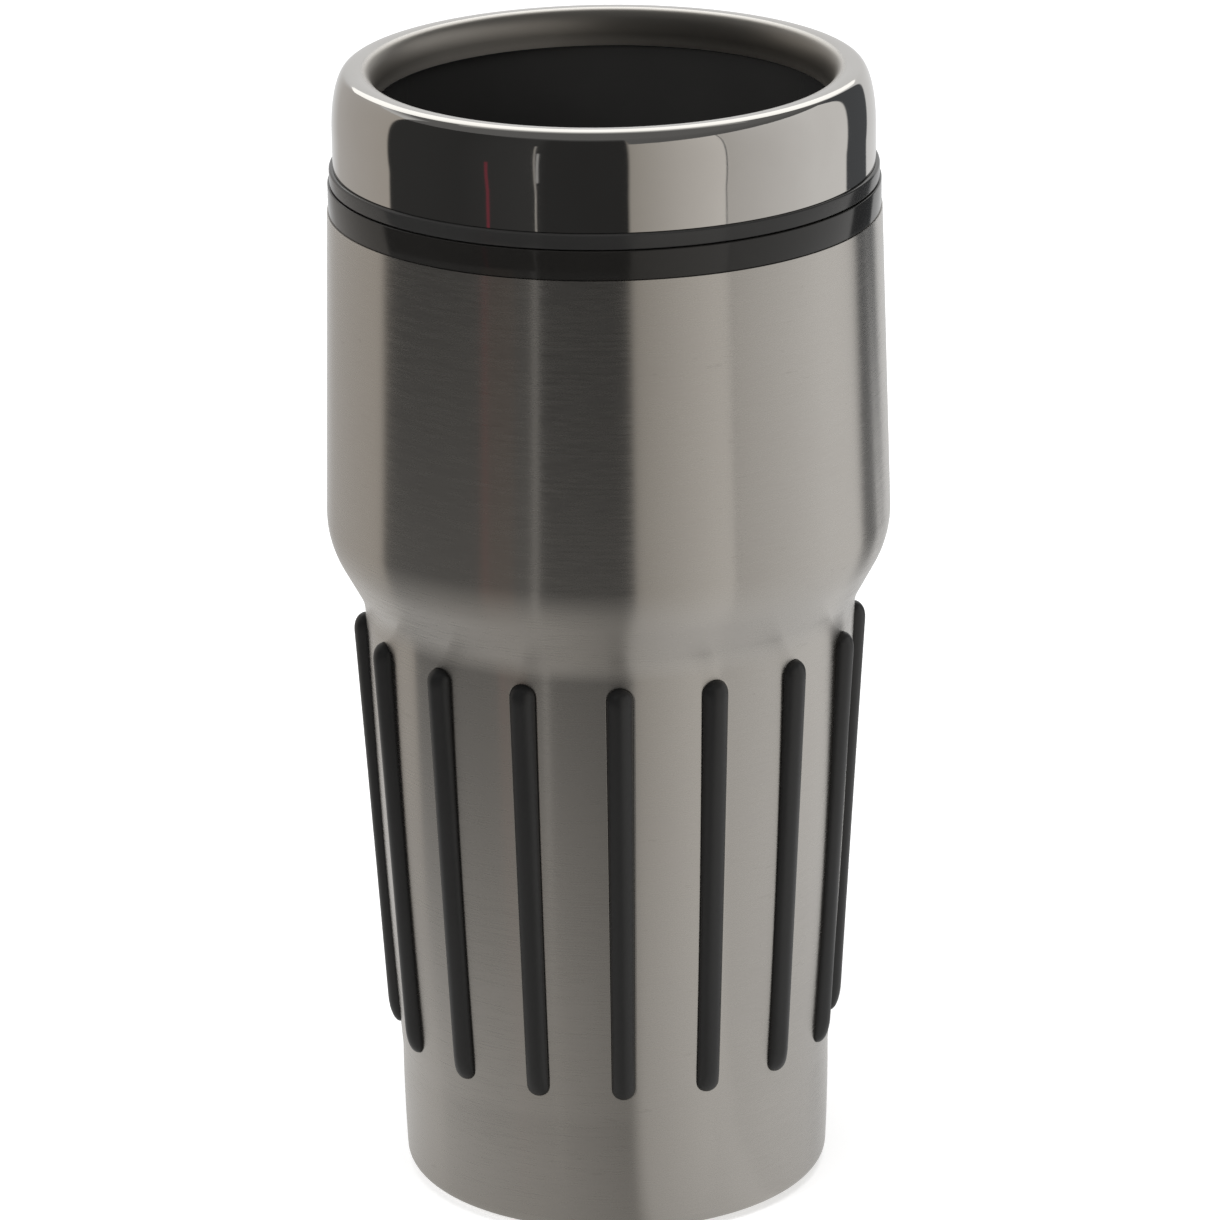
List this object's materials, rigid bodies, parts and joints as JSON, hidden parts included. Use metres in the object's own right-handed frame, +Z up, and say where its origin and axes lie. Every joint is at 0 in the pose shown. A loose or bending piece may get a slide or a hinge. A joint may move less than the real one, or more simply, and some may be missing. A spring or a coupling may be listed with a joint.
{
  "type": "insulated travel mug",
  "caption": "Insulated travel mug: slotted brushed-steel shell over a ribbed rubber grip, inner steel vessel, and a push-in lid with a polished trim ring and a sliding drink closure.",
  "frame": {"origin": "centre of the base, on the surface the mug stands on", "axes": "+Z up along the mug's axis; -Y is the side of the drink hole, and a rib stands on -Y"},
  "size_m": [0.086, 0.086, 0.1764],
  "materials": {
    "shell_steel": "fine brushing round the body, satin",
    "polished_steel": "mirror polished",
    "vessel_steel": "satin, spun",
    "base_steel": "plain pressed",
    "screw_steel": "bright",
    "grip_rubber": "smooth moulded, soft sheen",
    "pad_rubber": "matte",
    "puck_rubber": "matte",
    "seal_rubber": "smooth",
    "silicone": "smooth, satin",
    "collar_plastic": "semi-gloss moulded",
    "lid_plastic": "semi-gloss moulded",
    "gate_plastic": "semi-gloss moulded",
    "knob_plastic": "fine grain",
    "foam": "open, dull"
  },
  "bodies": {
    "mug": {"outer_shell": "shell_steel", "grip_sleeve": "grip_rubber", "base_cap": "base_steel", "base_pad": "pad_rubber", "liner": "vessel_steel", "liner_puck": "puck_rubber", "insulation": "foam", "collar": "collar_plastic", "collar_seal": "seal_rubber"},
    "lid": {"lid_body": "lid_plastic", "trim_ring": "polished_steel", "lid_gasket": "silicone"},
    "slider": {"slide_gate": "gate_plastic", "slide_knob": "knob_plastic", "slide_seal": "silicone", "slide_keeper": "gate_plastic", "slide_screw": "screw_steel"}
  },
  "joints": [
    {"name": "lid_lift", "type": "slide", "parent": "mug", "child": "lid", "axis": [0, 0, 1], "range_m": [0, 0.05]},
    {"name": "closure_slide", "type": "slide", "parent": "lid", "child": "slider", "axis": [0, 1, 0], "range_m": [0, 0.012]}
  ]
}
